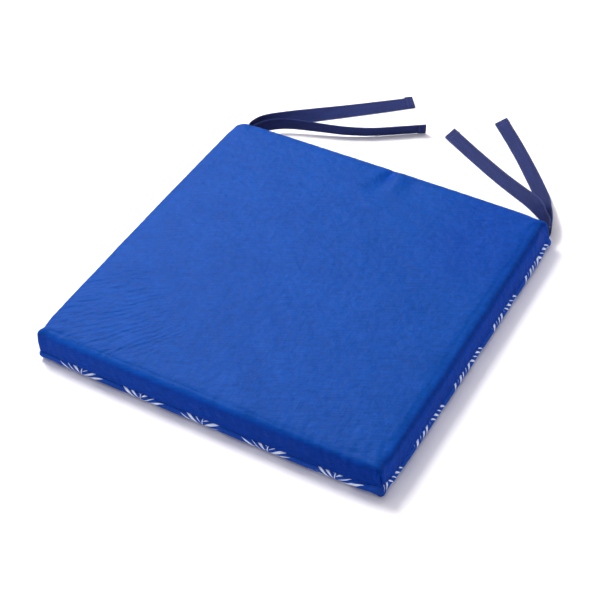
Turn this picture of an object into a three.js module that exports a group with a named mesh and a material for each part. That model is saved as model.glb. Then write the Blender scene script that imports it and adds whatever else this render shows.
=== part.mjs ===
import * as THREE from 'three';

// A square chair cushion lying on its back: a plain blue upper cover over its
// filling, a printed base cloth turned up to the seam, and a folded tape tie
// caught in the seam near each back corner. Millimetres, +Z up. The origin is
// the middle of the underside, -Y is the front edge, the ties are at the back.

// Cushion
const cushionSide = 400;
const edgeHeight = 41;
const crownRise = 3;
const crownPower = 2.5;
const shoulderRadius = 9;
const cornerRadius = 3.5;
const innerRounding = 0.25;

// Base cloth and its seam
const clothThickness = 1.2;
const seamHeight = 12;
const seamDraw = 0.9;
const footRadius = 5;
const pieceGap = 0.3;

// Sides between two corners: a slight outward bow, drawn in beside each corner
const sideBow = 1.3;
const pinchDepth = 1.4;
const pinchFromCorner = 13;
const pinchWidth = 9;
const shapeReach = 66;

// Tape ties. rootSpread and rootDepth place the fold, from the middle of the
// cushion; rootWidth is the gathered width of the tape where the seam holds it,
// and it opens to its full width over rootLength.
const tapeWidth = 17;
const tapeThickness = 1;
const hemLength = 9;
const hemThickness = 2.2;
const hemSpread = 0.6;
const rootWidth = 11;
const rootLength = 14;
const rootSpread = 194.5;
const rootDepth = 201.5;
const rootLow = 3;
const foldRadius = 0.85;
const skewLength = 20;

// How finely the surfaces are divided. endCrowding gathers the steps of a side
// towards its corners, rimCrowding the rings of the top towards its rim.
const sideSteps = 22;
const endCrowding = 0.6;
const cornerSteps = 4;
const topRings = 11;
const rimCrowding = 1.8;
const flatRings = [150, 70, 16];
const innermostRing = 184;
const foldSteps = 5;
const tapeStep = 6;

const colours = {
  cover: 0x2d5bb5,
  print: 0x2350a8,
  tape: 0x374070,
};

// The upper cover's side above the seam: drawn in at the seam, full half way up
const sideProfile = [
  { rise: 0, inset: seamDraw },
  { rise: 2, inset: 0.3 },
  { rise: 6, inset: 0 },
  { rise: 12, inset: -0.4 },
];

// Where the four corners stand at the top edge and at the foot, seen from above
const corners = [
  { topX: -201.5, topY: -200.5, footX: -199.5, footY: -200.5 },
  { topX: 200, topY: -200, footX: 200.5, footY: -199.5 },
  { topX: 196, topY: 198, footX: 201, footY: 201 },
  { topX: -199.5, topY: 200.5, footX: -200, footY: 200 },
];

// Soft dents where the cloth is pulled in at the top: one beside each corner
// and a tuck at the middle of the back edge
const dents = [
  { x: 187, y: -193, depth: 1.6, reachX: 6, reachY: 6 },
  { x: -187, y: -191, depth: 1.4, reachX: 7, reachY: 7 },
  { x: 183, y: 190, depth: 1.8, reachX: 8, reachY: 7 },
  { x: -186, y: 190, depth: 1.8, reachX: 8, reachY: 7 },
  { x: 8, y: 193, depth: 3.2, reachX: 15, reachY: 12 },
];

// The tails of each tie after the seam, out to the free end. x and y are the
// middle of the tape, low is the height of its lowest edge, lean is 0 when the
// tape lies flat and 90 when it stands on edge. farSide says which edge of a
// tail is its far one, 1 for the left edge seen along it and -1 for the right,
// and endSkew how far that edge reaches past the middle of a free end.
const ties = [
  {
    name: 'tie_left',
    rootX: -rootSpread,
    farSide: 1,
    endSkew: 0,
    front: [
      { x: -192.5, y: 213, low: 3.3, lean: 90 },
      { x: -187.5, y: 224, low: 4.2, lean: 91 },
      { x: -178, y: 235, low: 4.8, lean: 92 },
      { x: -160, y: 246, low: 5, lean: 95 },
      { x: -125, y: 258, low: 3.6, lean: 102 },
      { x: -94, y: 269, low: 1.6, lean: 105 },
      { x: -64, y: 283.5, low: 0.4, lean: 107 },
      { x: -36.5, y: 301, low: 0.1, lean: 107 },
      { x: -11, y: 317.5, low: 0.1, lean: 107 },
    ],
    back: [
      { x: -197, y: 213, low: 3, lean: 90 },
      { x: -197, y: 225, low: 2.5, lean: 84 },
      { x: -191, y: 240, low: 1.7, lean: 69 },
      { x: -178, y: 255.5, low: 0.8, lean: 54 },
      { x: -148, y: 282.5, low: 0.1, lean: 38 },
      { x: -114, y: 311, low: 0.1, lean: 25 },
      { x: -80, y: 339, low: 0.1, lean: 19 },
      { x: -50.5, y: 364, low: 0.1, lean: 14 },
    ],
  },
  {
    name: 'tie_right',
    rootX: rootSpread,
    farSide: -1,
    endSkew: 1.6,
    front: [
      { x: 191.5, y: 212, low: 3, lean: 88 },
      { x: 186.5, y: 221.5, low: 2.7, lean: 83 },
      { x: 178.5, y: 232, low: 2, lean: 74 },
      { x: 168.5, y: 243, low: 1, lean: 55 },
      { x: 154, y: 255, low: 0.1, lean: 34 },
      { x: 131, y: 267, low: 0.1, lean: 22 },
      { x: 104, y: 280, low: 0.1, lean: 20 },
      { x: 62, y: 303, low: 0.1, lean: 16 },
      { x: 16.5, y: 328.5, low: 0.1, lean: 14 },
    ],
    back: [
      { x: 196, y: 212, low: 3, lean: 90 },
      { x: 194, y: 222, low: 3, lean: 88 },
      { x: 188, y: 233.5, low: 2.5, lean: 80 },
      { x: 179, y: 245, low: 1.4, lean: 60 },
      { x: 170.5, y: 256, low: 0.3, lean: 34 },
      { x: 159, y: 272, low: 0.1, lean: 14 },
      { x: 133, y: 303, low: 0.1, lean: 10 },
      { x: 97, y: 342, low: 0.1, lean: 10 },
      { x: 61, y: 377.5, low: 0.1, lean: 10 },
    ],
  },
];

const mix = (a, b, t) => a + (b - a) * t;
const bump = (distance, reach) => Math.exp(-((distance / reach) ** 2));

// One closed body through a list of rings with equally many points, with a
// middle point closing the first and the last ring
function closedSurface(rings) {
  const count = rings[0].length;
  const positions = [];
  const faces = [];
  const middle = (ring) => {
    const sum = new THREE.Vector3();
    for (const point of ring) sum.add(point);
    return sum.divideScalar(count);
  };
  for (const ring of rings) {
    for (const point of ring) positions.push(point.x, point.y, point.z);
  }
  for (let row = 0; row + 1 < rings.length; row += 1) {
    for (let i = 0; i < count; i += 1) {
      const a = row * count + i;
      const b = row * count + ((i + 1) % count);
      faces.push(a, b, b + count);
      faces.push(a, b + count, a + count);
    }
  }
  const startPoint = positions.length / 3;
  positions.push(...middle(rings[0]).toArray());
  positions.push(...middle(rings[rings.length - 1]).toArray());
  const lastRing = (rings.length - 1) * count;
  for (let i = 0; i < count; i += 1) {
    const next = (i + 1) % count;
    faces.push(startPoint, next, i);
    faces.push(startPoint + 1, lastRing + i, lastRing + next);
  }
  const geometry = new THREE.BufferGeometry();
  geometry.setAttribute('position', new THREE.Float32BufferAttribute(positions, 3));
  geometry.setIndex(faces);
  geometry.computeVertexNormals();
  return geometry;
}

// A corner of the outline at height z, moved in by inset from both its sides
function cornerAt(index, z, inset) {
  const { topX, topY, footX, footY } = corners[index];
  const rise = Math.min(z / edgeHeight, 1);
  const x = mix(footX, topX, rise);
  const y = mix(footY, topY, rise);
  return new THREE.Vector2(x - Math.sign(x) * inset, y - Math.sign(y) * inset);
}

// How far a side stands out at a distance from its nearer corner
function sideShape(distance, length) {
  const along = distance / (length / 2);
  const bow = sideBow * along * (2 - along);
  return bow - pinchDepth * bump(distance - pinchFromCorner, pinchWidth);
}

// A closed ring around the cushion, anticlockwise from above
function outlineRing(inset, z, heightAt = () => z) {
  const ring = [];
  const fade = Math.max(0, 1 - inset / shapeReach);
  const radius = Math.max(cornerRadius, inset * innerRounding);
  for (let side = 0; side < 4; side += 1) {
    const before = cornerAt((side + 3) % 4, z, inset);
    const start = cornerAt(side, z, inset);
    const end = cornerAt((side + 1) % 4, z, inset);
    const length = start.distanceTo(end);
    const along = end.clone().sub(start).divideScalar(length);
    const back = before.sub(start).normalize();
    const outward = new THREE.Vector2(along.y, -along.x);
    const point = new THREE.Vector2();
    for (let i = 0; i < cornerSteps; i += 1) {
      const t = i / cornerSteps;
      point.copy(start);
      point.addScaledVector(back, radius * (1 - t) ** 2);
      point.addScaledVector(along, radius * t ** 2);
      ring.push(new THREE.Vector3(point.x, point.y, 0));
    }
    for (let i = 0; i < sideSteps; i += 1) {
      const eased = 0.5 - 0.5 * Math.cos((Math.PI * i) / sideSteps);
      const place = mix(radius, length - radius, mix(i / sideSteps, eased, endCrowding));
      const shape = sideShape(Math.min(place, length - place), length) * fade;
      point.copy(start).addScaledVector(along, place).addScaledVector(outward, shape);
      ring.push(new THREE.Vector3(point.x, point.y, 0));
    }
  }
  for (const point of ring) point.z = heightAt(point.x, point.y);
  return ring;
}

// The soft, slightly crowned top with its dents; share is 1 on the flat of the
// top and less on the way down the shoulder
function topHeight(x, y, z, share) {
  const reach = cushionSide / 2;
  const across = Math.min(Math.abs(x) / reach, 1);
  const deep = Math.min(Math.abs(y) / reach, 1);
  const crown = crownRise * (1 - across ** crownPower) * (1 - deep ** crownPower);
  let sink = 0;
  for (const dent of dents) {
    sink += dent.depth * bump(x - dent.x, dent.reachX) * bump(y - dent.y, dent.reachY);
  }
  return z + (crown - sink) * share;
}

function upperCover() {
  const innerInset = clothThickness + pieceGap;
  const floorHeight = clothThickness + pieceGap;
  const footInset = innerInset + footRadius;
  const rings = [];
  for (const inset of flatRings) rings.push(outlineRing(inset, floorHeight));
  for (const turn of [0, 0.5, 1]) {
    const angle = (turn * Math.PI) / 2;
    const inset = footInset - footRadius * Math.sin(angle);
    rings.push(outlineRing(inset, floorHeight + footRadius * (1 - Math.cos(angle))));
  }
  const lipHeight = seamHeight + pieceGap;
  rings.push(outlineRing(innerInset + seamDraw, lipHeight));
  for (const { rise, inset } of sideProfile) rings.push(outlineRing(inset, lipHeight + rise));
  const shoulderFoot = edgeHeight - shoulderRadius;
  for (const turn of [0, 0.25, 0.5, 0.75, 1]) {
    const angle = (turn * Math.PI) / 2;
    const inset = shoulderRadius * (1 - Math.cos(angle));
    const z = shoulderFoot + shoulderRadius * Math.sin(angle);
    rings.push(outlineRing(inset, z, (x, y) => topHeight(x, y, z, turn ** 2)));
  }
  for (let i = 1; i <= topRings; i += 1) {
    const inset = mix(shoulderRadius, innermostRing, (i / topRings) ** rimCrowding);
    rings.push(outlineRing(inset, edgeHeight, (x, y) => topHeight(x, y, edgeHeight, 1)));
  }
  return closedSurface(rings);
}

function baseCloth() {
  const rings = [];
  for (const inset of flatRings) rings.push(outlineRing(inset, 0));
  for (const turn of [0, 0.33, 0.67, 1]) {
    const angle = (turn * Math.PI) / 2;
    const inset = footRadius * (1 - Math.sin(angle));
    rings.push(outlineRing(inset, footRadius * (1 - Math.cos(angle))));
  }
  rings.push(outlineRing(seamDraw, seamHeight));
  rings.push(outlineRing(seamDraw + clothThickness, seamHeight));
  const innerRadius = footRadius - clothThickness;
  for (const turn of [1, 0.67, 0.33, 0]) {
    const angle = (turn * Math.PI) / 2;
    const inset = footRadius - innerRadius * Math.sin(angle);
    rings.push(outlineRing(inset, footRadius - innerRadius * Math.cos(angle)));
  }
  for (const inset of flatRings.toReversed()) rings.push(outlineRing(inset, clothThickness));
  return closedSurface(rings);
}

// A smooth value at s through the values that the rows give at their stations
function smoothValue(stations, values, s) {
  const last = stations.length - 1;
  let i = 0;
  while (i < last - 1 && s > stations[i + 1]) i += 1;
  const slope = (k) => {
    const low = Math.max(k - 1, 0);
    const high = Math.min(k + 1, last);
    return (values[high] - values[low]) / (stations[high] - stations[low]);
  };
  const span = stations[i + 1] - stations[i];
  const t = (s - stations[i]) / span;
  const fromStart = (2 * t ** 3 - 3 * t ** 2 + 1) * values[i] + (t ** 3 - 2 * t ** 2 + t) * span * slope(i);
  const fromEnd = (3 * t ** 2 - 2 * t ** 3) * values[i + 1] + (t ** 3 - t ** 2) * span * slope(i + 1);
  return fromStart + fromEnd;
}

// Sections of one tail from the seam to the free end: the middle of the tape,
// the directions across its width, through its thickness and along its run
function tailSections(root, rows, farSide, endSkew) {
  const stops = [root, ...rows];
  const stations = [0];
  for (let i = 1; i < stops.length; i += 1) {
    const step = Math.hypot(stops[i].x - stops[i - 1].x, stops[i].y - stops[i - 1].y);
    stations.push(stations[i - 1] + step);
  }
  const length = stations[stations.length - 1];
  const value = (name, s) => smoothValue(stations, stops.map((stop) => stop[name]), s);
  const hemStart = length - hemLength;
  const count = Math.round(hemStart / tapeStep);
  const places = [];
  for (let i = 0; i <= count; i += 1) places.push((hemStart * i) / count);
  places.push(hemStart + tapeThickness / 2, length);
  return places.map((s) => {
    const dx = value('x', s + 0.5) - value('x', s - 0.5);
    const dy = value('y', s + 0.5) - value('y', s - 0.5);
    const run = new THREE.Vector3(dx, dy, 0).normalize();
    const lean = THREE.MathUtils.degToRad(value('lean', s));
    const across = new THREE.Vector3(-run.y, run.x, 0).multiplyScalar(farSide * Math.cos(lean));
    across.z = Math.sin(lean);
    const inHem = s > hemStart;
    const opened = THREE.MathUtils.smoothstep(s, 0, rootLength);
    const openWidth = inHem ? tapeWidth + hemSpread : tapeWidth;
    const thickness = inHem ? hemThickness : tapeThickness;
    const halfHeight = (openWidth * Math.sin(lean) + thickness * Math.abs(Math.cos(lean))) / 2;
    return {
      middle: new THREE.Vector3(value('x', s), value('y', s), value('low', s) + halfHeight),
      across,
      through: new THREE.Vector3().crossVectors(run, across),
      run,
      width: mix(rootWidth, openWidth, opened),
      thickness,
      skew: endSkew * Math.max(0, 1 - (length - s) / skewLength),
    };
  });
}

function sectionRing({ middle, across, through, run, width, thickness, skew }) {
  const edges = [[-1, -1], [1, -1], [1, 1], [-1, 1]];
  return edges.map(([wide, thick]) => {
    const point = middle.clone();
    point.addScaledVector(across, (wide * width) / 2);
    point.addScaledVector(through, (thick * thickness) / 2);
    return point.addScaledVector(run, wide * skew);
  });
}

// One tape folded at its middle: in along the front tail, round the fold in
// the seam, and out along the back tail
function foldedTie({ rootX, farSide, endSkew, front, back }) {
  const root = { y: rootDepth, low: rootLow, lean: 90 };
  const frontRoot = { ...root, x: rootX + farSide * foldRadius };
  const backRoot = { ...root, x: rootX - farSide * foldRadius };
  const inward = tailSections(frontRoot, front, farSide, endSkew).reverse();
  const outward = tailSections(backRoot, back, farSide, endSkew);
  for (const section of inward) section.through.negate();
  const up = new THREE.Vector3(0, 0, 1);
  const centre = new THREE.Vector3(rootX, rootDepth, outward[0].middle.z);
  const fold = [];
  for (let i = 1; i < foldSteps; i += 1) {
    const through = new THREE.Vector3(-1, 0, 0);
    through.applyAxisAngle(up, (-farSide * Math.PI * i) / foldSteps);
    fold.push({
      middle: centre.clone().addScaledVector(through, -farSide * foldRadius),
      across: up,
      through,
      run: up,
      width: rootWidth,
      thickness: tapeThickness,
      skew: 0,
    });
  }
  return closedSurface([...inward, ...fold, ...outward].map(sectionRing));
}

function piece(name, geometry, colour, roughness) {
  const material = new THREE.MeshStandardMaterial({ color: colour, roughness, metalness: 0 });
  const mesh = new THREE.Mesh(geometry, material);
  mesh.name = name;
  return mesh;
}

const group = new THREE.Group();
group.add(piece('cushion_body', upperCover(), colours.cover, 0.75));
group.add(piece('base_panel', baseCloth(), colours.print, 0.8));
for (const tie of ties) group.add(piece(tie.name, foldedTie(tie), colours.tape, 0.85));

export default group;
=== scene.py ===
import math

import bpy
import numpy as np
from mathutils import Matrix, Vector


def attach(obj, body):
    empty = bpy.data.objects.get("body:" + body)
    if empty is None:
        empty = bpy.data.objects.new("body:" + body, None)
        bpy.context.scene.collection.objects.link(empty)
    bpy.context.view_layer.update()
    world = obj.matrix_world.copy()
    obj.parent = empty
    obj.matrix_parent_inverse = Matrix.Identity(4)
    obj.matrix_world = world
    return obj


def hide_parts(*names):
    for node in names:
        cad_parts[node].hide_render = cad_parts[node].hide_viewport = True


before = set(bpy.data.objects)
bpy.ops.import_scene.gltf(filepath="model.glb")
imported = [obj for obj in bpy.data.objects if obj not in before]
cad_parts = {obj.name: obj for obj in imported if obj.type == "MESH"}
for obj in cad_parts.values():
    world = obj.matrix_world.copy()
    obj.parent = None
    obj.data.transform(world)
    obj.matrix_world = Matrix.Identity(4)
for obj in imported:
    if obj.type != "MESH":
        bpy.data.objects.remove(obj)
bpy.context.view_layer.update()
print("frame loaded")

# Sizes and places in the tables are in millimetres. makeMesh turns them into metres.
mm = 0.001

# The camera stands out from the front right corner and looks down at the cushion.
cameraView = {
    "place": (614.0, -979.6, 1121.4),
    "yaw": -32.204,
    "pitch": 44.094,
    "roll": -3.485,
    "lens": 90.14,
    "sensor": 36.0,
}

# The cushion's own shape, as it is cut and filled
cushion = {
    "edgeHeight": 41.0,
    "crownRise": 3.0,
    "crownPower": 2.5,
    "shoulderRadius": 9.0,
    "frontShoulder": 0.68,
    "frontShoulderFrom": (31.0, 34.0),
    "innerRounding": 0.25,
    "topWaver": 0.16,
    "sideBow": 1.3,
    "pinchDepth": 1.1,
    "pinchFromCorner": 13.0,
    "pinchWidth": 9.0,
    "shapeReach": 66.0,
    "seamHeight": 11.4,
    "sideSteps": 96,
    "cornerSteps": 6,
    "endCrowding": 0.42,
}
# Left front, right front, right back and left back: places and rounding at the top edge and at the
# foot, and how far the gathers lift the seam there
cushionCorners = [
    {"top": (-201.0, -200.5), "foot": (-199.6, -200.3), "topRound": 2.5, "footRound": 3.0, "seamLift": 0.8},
    {"top": (200.0, -200.0), "foot": (201.4, -199.8), "topRound": 9.0, "footRound": 3.5, "seamLift": 8.0},
    {"top": (196.0, 198.0), "foot": (201.8, 201.0), "topRound": 5.0, "footRound": 3.5, "seamLift": 1.5},
    {"top": (-199.5, 200.5), "foot": (-200.0, 200.0), "topRound": 12.0, "footRound": 4.5, "seamLift": 2.0},
]
# front, right, back and left side: along it and out of it
sideAlong = np.array([(1, 0), (0, 1), (-1, 0), (0, -1)], float)
sideOut = np.array([(0, -1), (1, 0), (0, 1), (-1, 0)], float)
halfSide = 200.0


def mix(a, b, share):
    return a + (b - a) * share


def bump(distance, reach):
    return np.exp(-((distance / reach) ** 2))


def smooth(value, low, high):
    share = np.clip((value - low) / (high - low), 0, 1)
    return share * share * (3 - 2 * share)


# Rises from 0 to 1 between the first two places and falls again between the last two
def between(value, low, full, ebb, high):
    return smooth(value, low, full) * (1 - smooth(value, ebb, high))


# Smooth uneven lines: the seed, and the shortest and the longest of the waves that make it up
unevenLines = {
    "gathers": (17, 6.5, 17.0),
    "gatherLean": (41, 60, 140),
    "gatherStrength": (23, 45, 120),
    "seamLine": (31, 60, 210),
    "wallFolds": (71, 8.0, 19.0),
    "topAcross": (5, 70, 170),
    "topDeep": (6, 80, 180),
}
waveCount = 7


# An uneven line about zero, the same each time
def wander(along, line):
    seed, shortest, longest = unevenLines[line]
    draw = np.random.default_rng(seed)
    lengths = draw.uniform(shortest, longest, waveCount)
    starts = draw.uniform(0, 2 * math.pi, waveCount)
    total = sum(np.sin(2 * math.pi * along / length + start) for length, start in zip(lengths, starts))
    return total / math.sqrt(waveCount)


# Meshes

def addObject(name, data):
    made = bpy.data.objects.new(name, data)
    bpy.context.scene.collection.objects.link(made)
    return made


def makeMesh(name, points, faces, finish, clothMap=None):
    mesh = bpy.data.meshes.new(name)
    mesh.from_pydata((np.asarray(points, float) * mm).tolist(), [], faces)
    if clothMap is not None:
        layer = mesh.uv_layers.new(name="cloth")
        layer.uv.foreach_set("vector", (np.asarray(clothMap, float) * mm).astype(np.float32).ravel())
    mesh.polygons.foreach_set("use_smooth", [True] * len(mesh.polygons))
    mesh.materials.append(finish)
    mesh.update()
    return addObject(name, mesh)


# Turns what the modifiers make into the piece's own mesh
def keepShape(piece):
    graph = bpy.context.evaluated_depsgraph_get()
    made = bpy.data.meshes.new_from_object(
        piece.evaluated_get(graph), preserve_all_data_layers=True, depsgraph=graph
    )
    piece.modifiers.clear()
    old = piece.data
    piece.data = made
    bpy.data.meshes.remove(old)
    made.name = piece.name
    return piece


def subdivide(piece):
    finer = piece.modifiers.new("finer", "SUBSURF")
    finer.levels = 1
    finer.render_levels = 1
    keepShape(piece)


# A value that the mesh's points have, such as their place or normal
def valuesOf(mesh, name):
    flat = np.zeros(len(mesh.vertices) * 3, np.float32)
    mesh.vertices.foreach_get(name, flat)
    return flat.reshape(-1, 3).astype(float)


def pointsOf(mesh):
    return valuesOf(mesh, "co") / mm


def normalsOf(mesh):
    return valuesOf(mesh, "normal")


def movePoints(mesh, points):
    mesh.vertices.foreach_set("co", (points * mm).astype(np.float32).ravel())
    mesh.update()


# The cushion's outline

def cornerAt(index, z, inset):
    corner = cushionCorners[index]
    rise = min(z / cushion["edgeHeight"], 1)
    place = mix(np.array(corner["foot"]), np.array(corner["top"]), rise)
    tight = 1.0
    if index < 2:
        # the front's shoulder is rounded more tightly than the others
        tight = mix(1.0, cushion["frontShoulder"], smooth(z, *cushion["frontShoulderFrom"]))
    return place - np.sign(place) * inset * np.array([1.0, tight])


def sideShape(distance, length):
    along = distance / (length / 2)
    bow = cushion["sideBow"] * along * (2 - along)
    return bow - cushion["pinchDepth"] * bump(distance - cushion["pinchFromCorner"], cushion["pinchWidth"])


def cornerRound(index, z):
    corner = cushionCorners[index]
    return mix(corner["footRound"], corner["topRound"], min(z / cushion["edgeHeight"], 1))


# A closed ring of points, anticlockwise from above, that starts in the middle of the left front corner
def outlineRing(inset, z):
    half = cushion["cornerSteps"] // 2
    steps = cushion["sideSteps"]
    rounds = [max(cornerRound(index, z), inset * cushion["innerRounding"]) for index in range(4)]
    fade = max(0.0, 1 - inset / cushion["shapeReach"])
    ring = []
    corners = [cornerAt(index, z, inset) for index in range(4)]
    for side in range(4):
        before, start, end, after = (corners[(side + k) % 4] for k in (3, 0, 1, 2))
        length = np.linalg.norm(end - start)
        along = (end - start) / length
        back = (before - start) / np.linalg.norm(before - start)
        ahead = (after - end) / np.linalg.norm(after - end)
        outward = np.array([along[1], -along[0]])
        first, last = rounds[side], rounds[(side + 1) % 4]
        for k in range(half):
            t = 0.5 + 0.5 * k / half
            ring.append(start + back * first * (1 - t) ** 2 + along * first * t**2)
        for k in range(steps):
            eased = 0.5 - 0.5 * math.cos(math.pi * k / steps)
            place = mix(first, length - last, mix(k / steps, eased, cushion["endCrowding"]))
            shape = sideShape(min(place, length - place), length) * fade
            ring.append(start + along * place + outward * shape)
        for k in range(half):
            t = 0.5 * k / half
            ring.append(end - along * last * (1 - t) ** 2 + ahead * last * t**2)
    return np.array(ring)


ringSteps = cushion["sideSteps"] + cushion["cornerSteps"]


# A grid inside a ring, its rim being the ring's own points
def gridInside(ring):
    n = len(ring) // 4
    front, right = ring[:n + 1], ring[n:2 * n + 1]
    back = ring[2 * n:3 * n + 1][::-1]
    left = np.concatenate([ring[3 * n:], ring[:1]])[::-1]
    s = np.linalg.norm(front - front[0], axis=1) / np.linalg.norm(front[-1] - front[0])
    s = s[:, None, None]
    t = s.reshape(1, -1, 1)
    edges = front[:, None] * (1 - t) + back[:, None] * t + left[None] * (1 - s) + right[None] * s
    spread = (front[0] * (1 - s) + front[-1] * s) * (1 - t) + (back[0] * (1 - s) + back[-1] * s) * t
    return edges - spread


# The point numbers of a grid of n by n cells, whose rim is a ring that starts at ringStart
def gridOf(n, ringStart, inner):
    numbers = np.zeros((n + 1, n + 1), int)
    k = np.arange(n)
    numbers[k, 0] = ringStart + k
    numbers[n, k] = ringStart + n + k
    numbers[n - k, n] = ringStart + 2 * n + k
    numbers[0, n - k] = ringStart + 3 * n + k
    numbers[1:n, 1:n] = inner + np.arange((n - 1) ** 2).reshape(n - 1, n - 1)
    return numbers


# Where a ring's points lie on the flat cloth, for a face of one side
def flatPlace(point, side, reach):
    run = point @ sideAlong[side]
    return sideAlong[side] * run + sideOut[side] * reach


# The underside starts from a coarser ring within the last one: every third point, drawn in a little
coarseRing = {"skip": 3, "share": 0.9}


# A body of rings about the outline. The head, a grid, closes the first ring, and the coarser tail
# closes the last. Both are functions that give the height over x and y, and the head may be None.
def ringBody(name, rings, heights, reaches, head, tail, finish):
    count = 4 * ringSteps
    points = [np.column_stack([ring, np.broadcast_to(z, count)]) for ring, z in zip(rings, heights)]
    faces, clothMap = [], []

    def addFaces(corners, places):
        faces.extend(corners)
        clothMap.extend(place for face in places for place in face)

    def addGrid(ring, ringStart, height, order):
        n = len(ring) // 4
        numbers = gridOf(n, ringStart, sum(len(part) for part in points))
        inner = gridInside(ring)[1:n, 1:n].reshape(-1, 2)
        points.append(np.column_stack([inner, height(inner[:, 0], inner[:, 1])]))
        places = np.concatenate(points)[:, :2]
        cells = np.stack([numbers[:-1, :-1], numbers[1:, :-1], numbers[1:, 1:], numbers[:-1, 1:]], axis=-1)
        cells = cells.reshape(-1, 4)[:, ::order]
        addFaces(cells.tolist(), places[cells])

    for row in range(len(rings) - 1):
        for k in range(count):
            side, after = k // ringSteps, (k + 1) % count
            corners = ((row, k), (row + 1, k), (row + 1, after), (row, after))
            places = [flatPlace(rings[r][c], side, reaches[r]) for r, c in corners]
            addFaces([[r * count + c for r, c in corners]], [places])
    if head is not None:
        addGrid(rings[0], 0, head, 1)
    skip = coarseRing["skip"]
    coarse = rings[-1][::skip] * coarseRing["share"]
    start, ringStart = (len(rings) - 1) * count, sum(len(part) for part in points)
    points.append(np.column_stack([coarse, tail(coarse[:, 0], coarse[:, 1])]))
    places = np.concatenate(points)[:, :2]
    for k in range(len(coarse)):
        fine = [start + (k * skip + step) % count for step in range(skip + 1)]
        face = [ringStart + k, ringStart + (k + 1) % len(coarse), *fine[::-1]]
        addFaces([face], [places[face]])
    addGrid(coarse, ringStart, tail, -1)
    return makeMesh(name, np.concatenate(points), faces, finish, clothMap)


# Folds, tucks and puckers

# How the seam gathers the two cloths: pull is the strength of the gathers
seamGathers = {
    "pull": 0.5,
    "coverReach": 6.0,
    "baseReach": 4.5,
    "slant": 0.3,
    "cornerReach": 34.0,
    "liftReach": 13.0,
    "liftHeight": 21.0,
    "waver": 0.5,
}
# How much stronger the gathers are at each corner
cornerPull = (0.6, 1.5, 0.8, 0.8)
# Soft upright folds of the side. Under the right shoulder runs a groove, which begins and ends
# between these places round the cushion, in half sides.
wallFolds = {
    "pull": 0.14,
    "frontPull": 0.5,
    "height": 30.0,
    "reach": 10.0,
    "slant": 0.2,
    "groove": 0.8,
    "grooveHeight": 36.3,
    "grooveReach": 2.2,
    "grooveSides": (2.1, 2.3, 3.75, 3.95),
}
# Troughs of the top: the deep end, the shallow end, the depth, the width and how much wider it gets.
# A ridge has a depth below zero.
topCreases = [
    ((10.0, 194.0), (4.0, 134.0), 5.6, 5.5, 6.0),
    ((22.0, 192.0), (25.0, 138.0), -1.8, 5.5, 6.0),
    ((39.0, 192.0), (52.0, 146.0), 2.2, 7.0, 9.0),
    ((-10.0, 194.0), (-22.0, 166.0), 0.4, 5.0, 8.0),
    ((-186.0, -186.0), (-150.0, -158.0), 0.5, 4.0, 8.0),
    ((188.0, -186.0), (162.0, -160.0), 0.4, 4.0, 8.0),
    ((178.0, 182.0), (146.0, 152.0), 0.5, 5.0, 12.0),
    ((-70.0, 148.0), (-36.0, 108.0), 0.35, 9.0, 12.0),
    ((-30.0, 150.0), (-62.0, 96.0), 0.25, 8.0, 12.0),
]
# Round hollows where the corner seams draw the cloth in: place, depth and reach. One with a depth
# below zero stands out.
dimples = [
    ((190.5, -199.0, 36.5), 2.4, 4.4),
    ((197.5, -187.0, 36.0), 1.2, 5.0),
    ((-189.0, -199.5, 34.0), 1.2, 6.5),
    ((-199.5, -189.0, 36.0), 0.6, 6.0),
    ((-196.5, -197.0, 41.0), -1.6, 5.0),
    ((-200.0, -200.0, 33.0), 1.2, 6.0),
    ((-197.0, 198.0, 38.0), 2.4, 7.0),
    ((187.0, 196.5, 37.0), 0.8, 6.0),
    ((193.0, 188.0, 37.0), 0.7, 6.0),
    ((11.0, 201.0, 34.0), 0.4, 6.0),
]
# The upright seam of each corner, left front first: its depth, and the lowest and highest place
cornerDarts = [(0.7, 14.0, 34.0), (3.0, 15.0, 38.0), (0.8, 13.0, 34.0), (0.8, 13.0, 34.0)]
dartShape = {
    "width": 0.8,
    "swell": 0.35,
    "swellAt": 3.4,
    "swellWidth": 2.2,
    "fadeIn": 3.0,
    "fadeOut": 5.0,
}


# How far round the cushion a point is, from the left front corner
def rimPlace(x, y):
    candidates = np.stack([-y, x, y, -x])
    side = candidates.argmax(0)
    run = np.stack([x, y, -x, -y])[side, np.arange(len(x))]
    return side * 2 * halfSide + run + halfSide


# From 0, loose, to about 1, pulled tight
def gatherAt(place, height):
    leaning = place + seamGathers["slant"] * height * wander(place, "gatherLean")
    strength = 0.6 + 0.4 * wander(place, "gatherStrength")
    pull = strength + atCorners(place, cornerPull, seamGathers["cornerReach"])
    return wander(leaning, "gathers") * pull


# A value that each corner has, fading along the sides
def atCorners(place, values, reach):
    total = np.zeros(np.shape(place))
    for index, value in enumerate(values):
        far = np.abs((place - index * 2 * halfSide + 4 * halfSide) % (8 * halfSide) - 4 * halfSide)
        total = total + value * bump(far, reach)
    return total


# How much higher than its even height the seam lies
def seamLift(place):
    lifts = [corner["seamLift"] for corner in cushionCorners]
    waver = seamGathers["waver"] * wander(place, "seamLine")
    return atCorners(place, lifts, seamGathers["liftReach"]) + waver


def alongNormal(points, normals, amount):
    return points + normals * amount[:, None]


def creaseDepth(points, start, end, depth, width, spread):
    line = np.array(end) - np.array(start)
    length = np.linalg.norm(line)
    offset = points[:, :2] - np.array(start)
    along = offset @ line / length**2
    side = offset @ np.array([-line[1], line[0]]) / length
    wide = width + spread * np.clip(along, 0, 1)
    fade = (1 - smooth(along, 0.0, 1.0)) * smooth(along * length, -6.0, 8.0)
    return depth * bump(side, wide) * fade


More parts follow.
